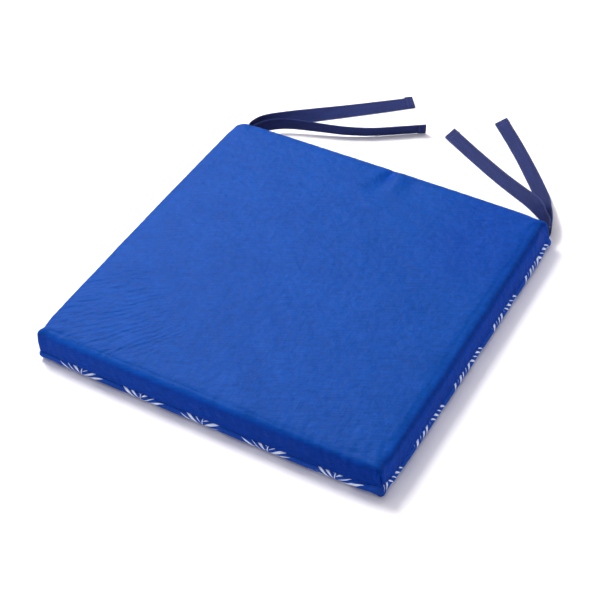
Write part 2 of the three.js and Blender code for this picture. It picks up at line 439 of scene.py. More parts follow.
def shapeCover(points, normals):
    x, y, z = points.T
    amount = np.zeros(len(points))
    facingUp = smooth(normals[:, 2], 0.15, 0.8)
    for crease in topCreases:
        amount -= creaseDepth(points, *crease) * facingUp
    waver = wander(x + 0.4 * y, "topAcross") * wander(y - 0.3 * x, "topDeep")
    amount += cushion["topWaver"] * facingUp * waver
    for place, depth, reach in dimples:
        amount -= depth * bump(np.linalg.norm(points - np.array(place), axis=1), reach)
    above = z - cushion["seamHeight"]
    onSide = (above > 0) & (normals[:, 2] > -0.6)
    rim = rimPlace(x, y)
    pulled = seamGathers["pull"] * gatherAt(rim, above) * np.exp(-above / seamGathers["coverReach"])
    amount += np.where(onSide, pulled, 0)
    onWall = bump(z - wallFolds["height"], wallFolds["reach"]) * onSide
    front = smooth(rim, halfSide * 0.8, halfSide * 1.3) * (rim < 2 * halfSide)
    pull = mix(wallFolds["pull"], wallFolds["frontPull"], front)
    amount += pull * onWall * wander(rim + wallFolds["slant"] * above, "wallFolds")
    grooved = between(rim, *(sides * halfSide for sides in wallFolds["grooveSides"]))
    amount -= wallFolds["groove"] * bump(z - wallFolds["grooveHeight"], wallFolds["grooveReach"]) * grooved
    amount += dartAmount(points, onSide)
    shaped = alongNormal(points, normals, amount)
    lift = seamLift(rim) * (1 - smooth(above, 0.0, seamGathers["liftHeight"]))
    shaped[:, 2] += np.where(onSide, lift, 0)
    return shaped


# The groove that a corner's seam makes, and the swell beside it
def dartRelief(distance, depth, swellAt):
    swell = dartShape["swell"] * bump(distance - swellAt, dartShape["swellWidth"])
    return swell - depth * bump(distance, dartShape["width"])


def dartAmount(points, wanted):
    z = points[:, 2]
    rise = np.clip(z / cushion["edgeHeight"], 0, 1)[:, None]
    amount = np.zeros(len(points))
    for index, (depth, low, high) in enumerate(cornerDarts):
        foot, top = cornerMiddle(index, 0), cornerMiddle(index, cushion["edgeHeight"])
        distance = np.linalg.norm(points[:, :2] - mix(foot, top, rise), axis=1)
        length = between(z, low - dartShape["fadeIn"], low, high - dartShape["fadeOut"], high)
        amount += np.where(wanted, dartRelief(distance, depth, dartShape["swellAt"]) * length, 0)
    return amount


def cornerMiddle(index, z):
    corner = cornerAt(index, z, 0)
    return corner - np.sign(corner) * cornerRound(index, z) * 0.25


def topHeight(x, y, crownRise):
    across = np.clip(np.abs(x) / halfSide, 0, 1) ** cushion["crownPower"]
    deep = np.clip(np.abs(y) / halfSide, 0, 1) ** cushion["crownPower"]
    return cushion["edgeHeight"] + crownRise * (1 - across) * (1 - deep)


# The upper cover over its filling

# The side from the shoulder down to the seam: height over the seam and how far in from the outline
coverSide = [
    (18.0, -0.1), (14.0, -0.1), (10.5, 0.0), (7.5, 0.1), (5.0, 0.1), (3.0, 0.1),
    (1.6, 0.3), (0.85, 0.7), (0.4, 1.2), (0.15, 1.7), (0.1, 2.8),
]
# Out of sight in the base cloth: how far in, the height, and how far past the seam on the flat cloth
coverInside = [(3.5, 10.7, 3.0), (3.2, 6.6, 6.0), (4.7, 3.1, 9.0), (8.2, 1.6, 13.0), (14.0, 1.6, 27.0)]
# How the filling swells the cover: the heights over the seam between which the hold on it fades,
# and the most that it may move
swelling = {
    "startRise": 1.6,
    "holdFades": (0.5, 9.0),
    "frames": 20,
    "mostUp": 1.6,
    "mostDown": 0.2,
    "mostOut": 0.3,
}
# The cloth simulation's own settings
swellingCloth = {
    "quality": 5,
    "mass": 0.3,
    "tension_stiffness": 25,
    "compression_stiffness": 25,
    "shear_stiffness": 8,
    "bending_stiffness": 0.6,
    "use_pressure": True,
    "uniform_pressure_force": 4.0,
    "vertex_group_mass": "held",
    "shrink_min": -0.002,
    "shrink_max": -0.002,
}


# How far the seam is from the middle of the cover's cloth, laid flat
def coverReach():
    aroundShoulder = cushion["shoulderRadius"] * (math.pi / 2 - 2)
    return halfSide + aroundShoulder + cushion["edgeHeight"] - cushion["seamHeight"]


def makeCover(finish):
    crownRise = swelling["startRise"]
    radius, edge = cushion["shoulderRadius"], cushion["edgeHeight"]
    rings, heights, reaches = [], [], []

    def addRing(inset, z, reach):
        rings.append(outlineRing(inset, min(z, edge)))
        heights.append(z)
        reaches.append(reach)

    for turn in np.linspace(math.pi / 2, 0, 7):
        z = edge - radius * (1 - math.sin(turn))
        addRing(radius * (1 - math.cos(turn)), z, halfSide - radius + radius * (math.pi / 2 - turn))
        # the crown fades out over the shoulder
        crown = topHeight(*rings[-1].T, crownRise) - edge
        heights[-1] = z + crown * math.sin(turn) ** 4
    seamReach = coverReach()
    for rise, inset in coverSide:
        addRing(inset, cushion["seamHeight"] + rise, seamReach - rise)
    for inset, z, past in coverInside:
        addRing(inset, z, seamReach + past)
    low = coverInside[-1][1]
    cover = ringBody(
        "cushion_cover", rings, heights, reaches,
        lambda x, y: topHeight(x, y, crownRise), lambda x, y: np.full(len(x), low), finish,
    )
    swellCover(cover)
    subdivide(cover)
    movePoints(cover.data, shapeCover(pointsOf(cover.data), normalsOf(cover.data)))
    return cover


# Blows the cover up a little with Blender's cloth, held at the seam, and keeps the move within bounds
def swellCover(cover):
    rest = pointsOf(cover.data)
    held = cover.vertex_groups.new(name="held")
    hold = np.round(1 - smooth(rest[:, 2] - cushion["seamHeight"], *swelling["holdFades"]), 2)
    for level in np.unique(hold):
        held.add(np.nonzero(hold == level)[0].tolist(), float(level), "REPLACE")
    cloth = cover.modifiers.new("filling", "CLOTH")
    for name, value in swellingCloth.items():
        setattr(cloth.settings, name, value)
    cloth.settings.effector_weights.gravity = 0
    cloth.collision_settings.use_collision = False
    cloth.point_cache.frame_start = 1
    cloth.point_cache.frame_end = swelling["frames"]
    scene = bpy.context.scene
    for number in range(1, swelling["frames"] + 1):
        scene.frame_set(number)
    graph = bpy.context.evaluated_depsgraph_get()
    move = pointsOf(cover.evaluated_get(graph).data) - rest
    cover.modifiers.remove(cloth)
    scene.frame_set(1)
    up, out = move[:, 2], move[:, :2]
    far = np.linalg.norm(out, axis=1)
    print("swelling: most up", round(float(up.max()), 2), "most out", round(float(far.max()), 2), "mm")
    move[:, 2] = up / (1 + np.abs(up) / np.where(up > 0, swelling["mostUp"], swelling["mostDown"]))
    move[:, :2] = out / (1 + far / swelling["mostOut"])[:, None]
    movePoints(cover.data, rest + move)


# The printed cloth under the cushion, turned up to the seam

baseCloth = {
    "thickness": 0.8,
    "cut": 422.0,
    "gatherShare": 0.8,
    "dartHeight": 6.0,
    "dartDepth": 0.9,
    "dartSwellAt": 3.2,
}
# Its section from the seam down, out and under: height, and how far in from the outline
baseSection = [
    (11.35, 2.7), (11.3, 1.7), (11.05, 1.0), (10.3, 0.2), (9.2, -0.45), (8.0, -0.8),
    (6.8, -0.85), (5.6, -0.7), (4.6, -0.4), (3.6, 0.1), (2.7, 0.8), (1.8, 1.8),
    (1.0, 3.2), (0.4, 5.2), (0.1, 7.6), (0.0, 11.0), (0.0, 20.0),
]


def makeBase(finish):
    rings = [outlineRing(inset, z) for z, inset in baseSection]
    heights = [z for z, inset in baseSection]
    reaches = [halfSide - baseSection[-1][1]]
    for outer, inner in zip(baseSection[-2::-1], baseSection[:0:-1]):
        reaches.insert(0, reaches[0] + math.dist(outer, inner))
    base = ringBody("base_cloth", rings, heights, reaches, None, lambda x, y: np.zeros(len(x)), finish)
    subdivide(base)
    points, normals = pointsOf(base.data), normalsOf(base.data)
    x, y, z = points.T
    rim = rimPlace(x, y)
    onSide = smooth(z, 0.6, 4.0)
    pull = baseCloth["gatherShare"] * seamGathers["pull"] * gatherAt(rim, 0.0)
    amount = pull * np.exp((z - cushion["seamHeight"]) / seamGathers["baseReach"]) * onSide
    for index in range(4):
        middle = cornerMiddle(index, baseCloth["dartHeight"])
        distance = np.linalg.norm(points[:, :2] - middle, axis=1)
        amount += dartRelief(distance, baseCloth["dartDepth"], baseCloth["dartSwellAt"]) * onSide
    points = alongNormal(points, normals, amount)
    points[:, 2] += seamLift(rim) * smooth(z, 1.0, cushion["seamHeight"]) * (z > 0.5)
    points[:, 2] = np.maximum(points[:, 2], 0.0)
    movePoints(base.data, points)
    thicker = base.modifiers.new("thicker", "SOLIDIFY")
    thicker.thickness = baseCloth["thickness"] * mm
    thicker.offset = -1
    return keepShape(base)


# The tape ties

tape = {
    "width": 17.0,
    "thickness": 0.9,
    "rootWidth": 11.0,
    "rootLength": 14.0,
    "rootSpread": 194.5,
    "rootDepth": 201.5,
    "rootInside": 3.5,
    "rootLow": 3.0,
    "foldRadius": 0.85,
    "hemLength": 9.0,
    "hemSteps": 5,
    "hemShift": 1.0,
    "hemGap": 0.12,
    "skewLength": 20.0,
    "pressedIn": 0.3,
    "pressedWidth": 0.06,
    "pucker": 0.35,
    "step": 2.5,
}
# The tails after the seam: x and y of the tape's middle, the height of its lowest edge, and its lean
# from flat, 0, to on edge, 90
ties = [
    {
        "name": "tie_left",
        "rootX": -tape["rootSpread"],
        "farSide": 1,
        "endSkew": 0.0,
        "front": [
            (-192.5, 213.0, 3.3, 90), (-187.5, 224.0, 4.2, 91), (-178.0, 235.0, 4.8, 92),
            (-160.0, 246.0, 5.0, 95), (-125.0, 258.0, 3.6, 102), (-94.0, 269.0, 1.6, 105),
            (-64.0, 283.5, 0.4, 107), (-36.5, 301.0, 0.1, 107), (-11.0, 317.5, 0.1, 107),
        ],
        "back": [
            (-197.0, 213.0, 3.0, 90), (-197.0, 225.0, 2.5, 84), (-191.0, 240.0, 1.7, 69),
            (-178.0, 255.5, 0.8, 54), (-148.0, 282.5, 0.1, 38), (-114.0, 311.0, 0.1, 25),
            (-80.0, 339.0, 0.1, 19), (-50.5, 364.0, 0.1, 14),
        ],
    },
    {
        "name": "tie_right",
        "rootX": tape["rootSpread"],
        "farSide": -1,
        "endSkew": 1.6,
        "front": [
            (193.0, 212.0, 3.0, 87), (188.6, 221.5, 2.7, 80), (178.5, 232.0, 2.0, 74),
            (168.5, 243.0, 1.0, 55), (154.0, 255.0, 0.1, 34), (131.0, 267.0, 0.1, 22),
            (104.0, 280.0, 0.1, 20), (62.0, 303.0, 0.3, 16), (16.5, 328.5, 1.2, 14),
        ],
        "back": [
            (195.0, 212.0, 3.0, 90), (192.2, 222.0, 3.0, 88), (186.2, 233.0, 2.5, 80),
            (177.4, 244.5, 1.4, 60), (169.5, 256.0, 0.3, 34), (159.0, 272.0, 0.1, 14),
            (133.0, 303.0, 0.1, 10), (97.0, 342.0, 0.3, 10), (61.0, 377.5, 1.2, 10),
        ],
    },
]
# Places across the tape's half width, closer where the edge is stitched down
tapeAcross = [0.0, 0.2, 0.4, 0.58, 0.7, 0.76, 0.81, 0.86, 0.92, 0.975, 1.0]
stitchLine = 0.81


# A smooth curve through the values at the stations
def smoothValue(stations, values, s):
    slopes = np.empty(len(values))
    slopes[1:-1] = (values[2:] - values[:-2]) / (stations[2:] - stations[:-2])
    slopes[0] = (values[1] - values[0]) / (stations[1] - stations[0])
    slopes[-1] = (values[-1] - values[-2]) / (stations[-1] - stations[-2])
    i = np.clip(np.searchsorted(stations, s, side="left") - 1, 0, len(values) - 2)
    apart = stations[i + 1] - stations[i]
    t = (s - stations[i]) / apart
    fromStart = (2 * t**3 - 3 * t**2 + 1) * values[i] + (t**3 - 2 * t**2 + t) * apart * slopes[i]
    fromEnd = (3 * t**2 - 2 * t**3) * values[i + 1] + (t**3 - t**2) * apart * slopes[i + 1]
    return fromStart + fromEnd


# Each row with its length made 1
def unit(rows):
    return rows / np.linalg.norm(rows, axis=1)[:, None]


# One tail from the seam to its end: rows of middle, across, width, gather and skew
def tailPath(root, rows, tie):
    x, y, low, lean = np.array([root, *rows], float).T
    stations = np.concatenate([[0], np.cumsum(np.hypot(np.diff(x), np.diff(y)))])
    length = stations[-1]
    s = np.linspace(0, length, round(length / tape["step"]) + 1)
    run = unit(np.column_stack([
        smoothValue(stations, place, s + 0.5) - smoothValue(stations, place, s - 0.5) for place in (x, y)
    ]))
    x, y, low, lean = (smoothValue(stations, value, s) for value in (x, y, low, lean))
    lean = np.radians(lean)
    across = np.column_stack([-run[:, 1], run[:, 0]]) * (tie["farSide"] * np.cos(lean))[:, None]
    halfHeight = (tape["width"] * np.sin(lean) + tape["thickness"] * np.abs(np.cos(lean))) / 2
    opened = smooth(s, 0, tape["rootLength"])
    skewed = tie["endSkew"] * np.clip(1 - (length - s) / tape["skewLength"], 0, 1)
    return {
        "middle": np.column_stack([x, y, low + halfHeight]),
        "across": np.column_stack([across, np.sin(lean)]),
        "width": mix(tape["rootWidth"], tape["width"], opened),
        "gather": 1 - opened,
        "skew": np.column_stack([run, 0 * s]) * skewed[:, None],
    }


# Rows of a path that differ in their middle alone
def evenRows(middle, across, width, gather, skew):
    count = len(middle)
    return {
        "middle": np.array(middle),
        "across": np.tile(across, (count, 1)),
        "width": np.full(count, width),
        "gather": np.full(count, gather),
        "skew": np.tile(skew, (count, 1)),
    }


# The tape goes round at its free end and lies back under itself
def turnedEnd(tail):
    gap = tape["thickness"] + tape["hemGap"]
    end, across = tail["middle"][-1], tail["across"][-1]
    run = end - tail["middle"][-3]
    run /= np.linalg.norm(run)
    through = np.cross(run, across)
    rows = []
    for turn in np.linspace(0, math.pi, 7)[1:]:
        reach = run * math.sin(turn) * gap / 2 + through * (1 - math.cos(turn)) * gap / 2
        rows.append(end + reach + across * tape["hemShift"] * 0.5 * turn / math.pi)
    for k in range(1, tape["hemSteps"] + 1):
        share = k / tape["hemSteps"]
        shift = tape["hemShift"] * (0.5 + 0.5 * share)
        rows.append(end + through * gap - run * tape["hemLength"] * share + across * shift)
    return evenRows(rows, across, tape["width"], 0.0, tail["skew"][-1])


def joinPaths(*paths):
    return {key: np.concatenate([path[key] for path in paths]) for key in paths[0]}


# The whole tape, from one end through the fold at its root to the other, and its two tails
def tiePath(tie):
    radius, depth, rootX = tape["foldRadius"], tape["rootDepth"], tie["rootX"]
    tails = []
    for name, side in (("front", tie["farSide"]), ("back", -tie["farSide"])):
        tails.append(tailPath((rootX + side * radius, depth, tape["rootLow"], 90), tie[name], tie))
    fold = []
    for turn in np.linspace(0, math.pi, 7):
        sideways, inwards = tie["farSide"] * radius * math.cos(turn), radius * math.sin(turn)
        height = tails[0]["middle"][0][2]
        fold.append((rootX + sideways, depth - tape["rootInside"] - inwards, height))
    middle = evenRows(fold, (0.0, 0.0, 1.0), tape["rootWidth"], 1.0, (0.0, 0.0, 0.0))
    front, back = (joinPaths(tail, turnedEnd(tail)) for tail in tails)
    turnedRound = {key: values[::-1] for key, values in front.items()}
    return joinPaths(turnedRound, middle, back), tails


def pathRun(path):
    return unit(np.gradient(path["middle"], axis=0))


# The direction out of the tape's face
def throughOf(path):
    return unit(np.cross(pathRun(path), path["across"]))


# How far along the tape each row is
def travelledTo(path):
    return np.concatenate([[0], np.cumsum(np.linalg.norm(np.diff(path["middle"], axis=0), axis=1))])


# A point of the tape's face: place is from -1 to 1 across it, face is 1 or -1
def tapePoint(path, through, place, face):
    edge = np.clip(1 - abs(place) ** 14, 0, 1) ** 0.5
    pressed = 1 - tape["pressedIn"] * bump(abs(place) - stitchLine, tape["pressedWidth"])
    half = tape["thickness"] / 2 * edge * pressed
    puckers = tape["pucker"] * path["gather"] * math.sin(2.2 * math.pi * place)
    point = path["middle"] + path["across"] * (place * path["width"] / 2)[:, None]
    point = point + through * (face * half + puckers)[:, None]
    return point + path["skew"] * place


def makeTie(tie, path, finish):
    through = throughOf(path)
    places = [-p for p in tapeAcross[::-1]][:-1] + tapeAcross
    upper = [tapePoint(path, through, place, 1) for place in places[::-1]]
    lower = [tapePoint(path, through, place, -1) for place in places[1:-1]]
    rings = np.stack(upper + lower, axis=1)
    ringPlaces = places[::-1] + places[1:-1]
    rows, count = rings.shape[:2]
    travelled = travelledTo(path)
    faces, clothMap = [], []

    def addFace(corners):
        faces.append([row * count + k for row, k in corners])
        clothMap.extend((ringPlaces[k] * tape["width"] / 2, travelled[row]) for row, k in corners)

    for row in range(rows - 1):
        for k in range(count):
            after = (k + 1) % count
            addFace([(row, k), (row, after), (row + 1, after), (row + 1, k)])
    for row, order in ((0, -1), (rows - 1, 1)):
        for k in range(len(places) - 1):
            # the ring's points pair up across the thickness, and its first and last pair meet at an edge
            pair = dict.fromkeys([k, k + 1, (count - k - 1) % count, (count - k) % count])
            addFace([(row, c) for c in pair][::order])
    return makeMesh(tie["name"] + "_tape", rings.reshape(-1, 3), faces, finish, clothMap)


# Finishes

# settings are the node's own options, sockets its values or links by name or number
def addNode(tree, kind, settings=None, sockets=None):
    made = tree.nodes.new(kind)
    for name, value in (settings or {}).items():
        setattr(made, name, value)
    for name, value in (sockets or {}).items():
        value = value.socket if isinstance(value, Wire) else value
        if isinstance(value, bpy.types.NodeSocket):
            tree.links.new(value, made.inputs[name])
        else:
            made.inputs[name].default_value = value
    return made


class Wire:
    # One output of a node, which can be used in a sum
    def __init__(self, finish, socket):
        self.finish = finish
        self.socket = socket

    def out(self, name):
        return Wire(self.finish, self.socket.node.outputs[name])

    def __add__(self, other):
        return self.finish.maths("ADD", self, other)

    def __radd__(self, other):
        return self.finish.maths("ADD", other, self)

    def __sub__(self, other):
        return self.finish.maths("SUBTRACT", self, other)

    def __rsub__(self, other):
        return self.finish.maths("SUBTRACT", other, self)

    def __mul__(self, other):
        return self.finish.maths("MULTIPLY", self, other)

    def __rmul__(self, other):
        return self.finish.maths("MULTIPLY", other, self)

    def __truediv__(self, other):
        return self.finish.maths("DIVIDE", self, other)

    def __rtruediv__(self, other):
        return self.finish.maths("DIVIDE", other, self)

    def __pow__(self, other):
        return self.finish.maths("POWER", self, other)

    def __neg__(self):
        return self.finish.maths("MULTIPLY", self, -1.0)

    def __abs__(self):
        return self.finish.maths("ABSOLUTE", self)

    def __lt__(self, other):
        return self.finish.maths("LESS_THAN", self, other)

    def __gt__(self, other):
        return self.finish.maths("GREATER_THAN", self, other)


class Finish:
    def __init__(self, name):
        self.material = bpy.data.materials.new(name)
        self.material.use_nodes = True
        self.tree = self.material.node_tree
        self.tree.nodes.clear()

    def node(self, kind, settings=None, sockets=None, output=0):
        made = addNode(self.tree, kind, settings, sockets)
        return Wire(self, made.outputs[output]) if made.outputs else None

    def maths(self, operation, *values):
        return self.node("ShaderNodeMath", {"operation": operation}, dict(enumerate(values)))

    def larger(self, first, second):
        return self.maths("MAXIMUM", first, second)

    def sine(self, value):
        return self.maths("SINE", value)

    # Rises from 0 at low to 1 at high
    def step(self, value, low, high):
        sockets = {"Value": value, "From Min": low, "From Max": high}
        return self.node("ShaderNodeMapRange", {"interpolation_type": "SMOOTHSTEP"}, sockets)

    # Falls from 1 at low to 0 at high
    def ebb(self, value, low, high):
        return 1 - self.step(value, low, high)

    def distance(self, x, y, place):
        return ((x - place[0]) ** 2.0 + (y - place[1]) ** 2.0) ** 0.5

    def blend(self, share, first, second):
        return self.node("ShaderNodeMix", {"data_type": "RGBA"}, {0: share, 6: first, 7: second}, output=2)

    # A colour made lighter or darker by a number
    def shade(self, colour, amount):
        grey = self.node("ShaderNodeCombineColor", None, {0: amount, 1: amount, 2: amount})
        settings = {"data_type": "RGBA", "blend_type": "MULTIPLY"}
        return self.node("ShaderNodeMix", settings, {0: 1.0, 6: colour, 7: grey}, output=2)

    def noise(self, vector, scale, detail=2.0, roughness=0.5):
        sockets = {"Vector": vector, "Scale": scale, "Detail": detail, "Roughness": roughness}
        return self.node("ShaderNodeTexNoise", None, sockets)

    # Noise drawn out along the cloth: the size of its grain along u and v, and how far that is turned
    def grain(self, place, size, detail=2.0, roughness=0.5, turn=0.0):
        sockets = {"Vector": place, "Scale": (*size, 1.0), "Rotation": (0.0, 0.0, turn)}
        drawn = self.node("ShaderNodeMapping", {"vector_type": "TEXTURE"}, sockets)
        return self.noise(drawn, 1.0, detail, roughness)

    # The cloth's own map, in millimetres
    def clothPlace(self):
        where = self.node("ShaderNodeUVMap", {"uv_map": "cloth"})
        return self.node("ShaderNodeVectorMath", {"operation": "SCALE"}, {"Vector": where, "Scale": 1 / mm})

    def parts(self, vector, names="XY"):
        split = self.node("ShaderNodeSeparateXYZ", None, {0: vector})
        return [split.out(name) for name in names]

    def objectPlace(self):
        return self.node("ShaderNodeTexCoord").out("Object")

    # The place in the scene, in millimetres
    def scenePlace(self, names="XYZ"):
        return [part / mm for part in self.parts(self.objectPlace(), names)]

    # Painted shade where the cloth goes into the seam, at this reach of its flat panel
    def seamShade(self, u, v, seamReach, width, amount):
        toSeam = abs(seamReach - self.larger(abs(u), abs(v)))
        return 1 - amount * self.ebb(toSeam, 0.0, width)

    # The height of a plain weave, from 0 to 1, with a thread every pitch
    def plainWeave(self, u, v, pitch):
        warp = self.sine(u * (math.pi / pitch))
        weft = self.sine(v * (math.pi / pitch))
        over = (warp * weft) > 0.0
        return over * abs(warp) + (1 - over) * abs(weft)

    # height is in millimetres
    def surface(self, colour, roughness, shine, height=None, sheen=0.0):
        sockets = {
            "Base Color": colour,
            "Roughness": roughness,
            "Specular IOR Level": shine,
            "Sheen Weight": sheen,
        }
        if height is not None:
            relief = {"Height": height, "Distance": mm, "Strength": 1.0}
            sockets["Normal"] = self.node("ShaderNodeBump", None, relief)
        shader = self.node("ShaderNodeBsdfPrincipled", None, sockets)
        self.node("ShaderNodeOutputMaterial", None, {"Surface": shader})
        return self.material


coverLook = {
    "colour": (0.0034, 0.0555, 0.293, 1.0),
    "deepToneAndShade": (0.0029, 0.050, 0.269, 1.0),
    # painted shade: a shaded copy of the cloth's colour for the sides
    "paintedSideShade": (0.0030, 0.045, 0.332, 1.0),
    # painted shade: a darker copy for the front side, towards the right
    "paintedFrontShade": (0.0012, 0.0375, 0.312, 1.0),
    "thread": 0.55,
    "slub": (22.0, 0.8),
    "streak": (26.0, 1.5),
    "streakTurn": 0.47,
    "foldHeight": 36.6,
    "foldShade": 0.26,
    "cornerSeam": (200.3, -198.5),
    "cornerShade": 0.6,
    "seamWidth": 1.6,
    "seamShade": 0.5,
    "ripplesFrom": (9.0, -10.0),
    "rippleAngle": 1.95,
    "rippleHeight": 0.52,
    "wallRise": 1.5,
}
# Between which two places each zone of the cover's shade fades in or out; the turns are in degrees
coverZones = {
    "acrossX": (-180.0, 180.0),
    "wallZ": (33.5, 41.5),
    "wallRiseX": (190.0, 196.0),
    "frontY": (-198.0, -194.0),
    "rightX": (194.0, 198.0),
    "rightBackY": (0.0, 140.0),
    "backX": (60.0, 150.0),
    "backY": (20.0, 120.0),
    "middleLeftX": (-60.0, 0.0),
    "middleRightX": (80.0, 150.0),
    "middleY": (-20.0, 60.0),
    "ridgeZ": (35.0, 39.0),
    "ridgeY": (-198.5, -194.5),
    "fromFold": (0.6, 3.4),
    "foldX": (188.0, 194.0),
    "fromSeam": (0.5, 2.0),
    "seamFootZ": (20.0, 26.0),
    "seamTopZ": (33.0, 38.0),
    "ripplesFar": (110.0, 200.0),
    "ripplesTurn": (14.0, 28.0),
    "ripplesTurnEnd": (55.0, 68.0),
    "ripplesV": (-199.0, -186.0),
}


def coverFinish():
    finish = Finish("blueCotton")

    def into(value, zone):
        return finish.step(value, *coverZones[zone])

    def outOf(value, zone):
        return finish.ebb(value, *coverZones[zone])

    place = finish.clothPlace()
    u, v = finish.parts(place)
    weave = finish.plainWeave(u, v, coverLook["thread"])
    mottle = finish.noise(place, 0.02, 3.0)
    slubAlong = finish.grain(place, coverLook["slub"])
    slubs = slubAlong + finish.grain(place, coverLook["slub"][::-1]) - 1.0
    streaks = finish.grain(place, coverLook["streak"], turn=coverLook["streakTurn"]) - 0.5
    flecks = finish.noise(place, 0.42, 3.0, 0.65) - 0.5
    crumple = finish.noise(place, 0.15) - 0.5
    soft = finish.noise(place, 0.045) - 0.5
    x, y, z = finish.scenePlace()
    fromLeft = into(x, "acrossX")
    wall = outOf(z - coverLook["wallRise"] * into(x, "wallRiseX"), "wallZ")
    front = wall * outOf(y, "frontY")
    right = wall * into(x, "rightX")
    back = into(x, "backX") * into(y, "backY")
    middle = into(x, "middleLeftX") * outOf(x, "middleRightX") * outOf(y, "middleY")
    ridge = into(z, "ridgeZ") * outOf(y, "ridgeY")
    fold = outOf(abs(z - coverLook["foldHeight"]), "fromFold") * into(x, "foldX")
    seam = outOf(finish.distance(x, y, coverLook["cornerSeam"]), "fromSeam")
    seam = seam * into(z, "seamFootZ") * outOf(z, "seamTopZ")
    # a deeper tone at random over the cloth
    colour = finish.blend(finish.step(mottle, 0.3, 0.7), coverLook["deepToneAndShade"], coverLook["colour"])
    # Painted shade: the sides, and a little of the top's back right part, take a shaded copy of the cloth's
    # colour
    colour = finish.blend(finish.larger(wall, 0.4 * back), colour, coverLook["paintedSideShade"])
    # Painted shade: the front side darkens towards the right
    colour = finish.blend(front * fromLeft, colour, coverLook["paintedFrontShade"])
    # Painted light and shade: darker towards the right and at the back right, lighter in the middle, a
    # painted highlight along the front shoulder, the front side darker towards the right, the right side
    # lighter towards the back, and painted shade in the fold under the right shoulder, at the right front
    # corner's seam and along the seam
    light = 1.04 - 0.04 * fromLeft + front * (0.01 - 0.12 * fromLeft) + ridge * (0.22 - 0.22 * fromLeft)
    light = light + 0.09 * right * into(y, "rightBackY") - 0.05 * back + 0.03 * middle
    light = light * (1 - coverLook["foldShade"] * fold) * (1 - coverLook["cornerShade"] * seam)
    light = light * finish.seamShade(u, v, coverReach(), coverLook["seamWidth"], coverLook["seamShade"])
    worn = 0.9 + 0.1 * weave + 0.38 * slubs + 0.6 * streaks + 0.28 * flecks + 0.3 * crumple
    height = 0.03 * weave + 0.07 * slubs + 0.2 * flecks + 0.85 * crumple + 1.6 * soft
    height = height + coverLook["rippleHeight"] * rippleHeight(finish, place, u, v)
    return finish.surface(finish.shade(colour, worn * light), 0.4 + 0.1 * slubAlong, 0.03, height)


# Fine ripples at the left front corner, which run together towards the middle of the cushion
def rippleHeight(finish, place, u, v):
    fromU, fromV = u - coverLook["ripplesFrom"][0], v - coverLook["ripplesFrom"][1]
    turn = finish.maths("ARCTAN2", -fromV, -fromU) * (180 / math.pi)
    far = finish.distance(u, v, coverLook["ripplesFrom"])
    bend = (finish.noise(place, 0.025) - 0.5) * 4.0
    puffs = finish.sine((turn + bend) * (math.pi / coverLook["rippleAngle"])) ** 2.0
    patches = finish.step(finish.grain(place, (60.0, 14.0), 1.0, turn=0.87), 0.3, 0.6)
    broken = finish.grain(place, (28.0, 5.0), 1.5, turn=0.76) - 0.5
    near = finish.step(far, *coverZones["ripplesFar"]) * finish.step(turn, *coverZones["ripplesTurn"])
    near = near * finish.ebb(turn, *coverZones["ripplesTurnEnd"])
    return (puffs * patches + 2.7 * broken) * near * finish.step(v, *coverZones["ripplesV"])


printLook = {
    "ground": (0.0095, 0.064, 0.39, 1.0),
    "motif": (0.80, 0.88, 1.0, 1.0),
    "thread": 0.6,
    "repeat": (74.0, 88.0),
    "shift": (17.0, 41.0),
    "waver": 7.0,
    "bladeCurve": 0.011,
    "bladeOffset": 2.6,
    "bladesEnd": 0.95,
    "stem": 0.5,
    "softEdge": 0.15,
    "slub": (12.0, 1.0),
    # painted shade about the right front corner
    "darkCorner": (201.0, -200.0),
    "cornerFades": (3.0, 15.0),
    "cornerShade": 0.26,
    "seamWidth": 1.2,
    "seamShade": 0.5,
}
# The sprigs of one repeat of the print, each a stem with long blades to both sides
sprigs = [
    {
        "place": (18.0, 22.0), "turn": -86.0, "length": 42.0,
        "blade": 28.0, "lean": 48.0, "pitch": 6.2, "wide": 1.3,
    },
    {
        "place": (71.0, 45.0), "turn": -94.0, "length": 28.0,
        "blade": 26.0, "lean": 47.0, "pitch": 6.4, "wide": 1.32,
    },
]


# How much a point lies in a sprig, from 0 to 1
def sprigMask(finish, u, v, sprig):
    turn, lean = math.radians(sprig["turn"]), math.radians(sprig["lean"])
    length, soft = sprig["length"], printLook["softEdge"]
    offsets, copies = [], []
    for flat, place, repeat in zip((u, v), sprig["place"], printLook["repeat"]):
        offsets.append(finish.maths("WRAP", flat - place, repeat / 2, -repeat / 2))
        copies.append(finish.maths("ROUND", (flat - place) / repeat))
    fromU, fromV = offsets
    copy = copies[0] + 1.7 * copies[1]
    along = fromU * math.cos(turn) + fromV * math.sin(turn) + length / 2
    side = fromV * math.cos(turn) - fromU * math.sin(turn)
    out, toRight = abs(side), side > 0.0
    start = along - out / math.tan(lean) + printLook["bladeCurve"] * out ** 2.0
    start = start + printLook["bladeOffset"] * toRight
    number = finish.maths("FLOOR", start / sprig["pitch"])
    middle = (number + 0.5) * sprig["pitch"]
    share = middle / length
    uneven = 0.5 + 0.5 * finish.sine(number * 2.4 + 1.7 * toRight + 1.9 * copy + sprig["turn"])
    swell = 0.55 + 0.45 * finish.sine((share * 0.75 + 0.15) * math.pi)
    reach = sprig["blade"] * swell * (0.65 + 0.4 * uneven)
    alongBlade = finish.maths("MINIMUM", finish.larger((out - 1.0) / reach, 0.0), 1.0)
    width = sprig["wide"] * (0.35 + 0.85 * uneven) * finish.sine(alongBlade ** 0.75 * math.pi)
    blade = finish.step(width - abs(start - middle) * math.sin(lean), -soft, soft)
    blade = blade * (alongBlade > 0.0) * (alongBlade < 0.995)
    blade = blade * (share > 0.0) * (share < printLook["bladesEnd"])
    stem = finish.step(printLook["stem"] - out, -soft, soft) * (along > 0.0) * (along < length)
    return finish.larger(blade, stem)


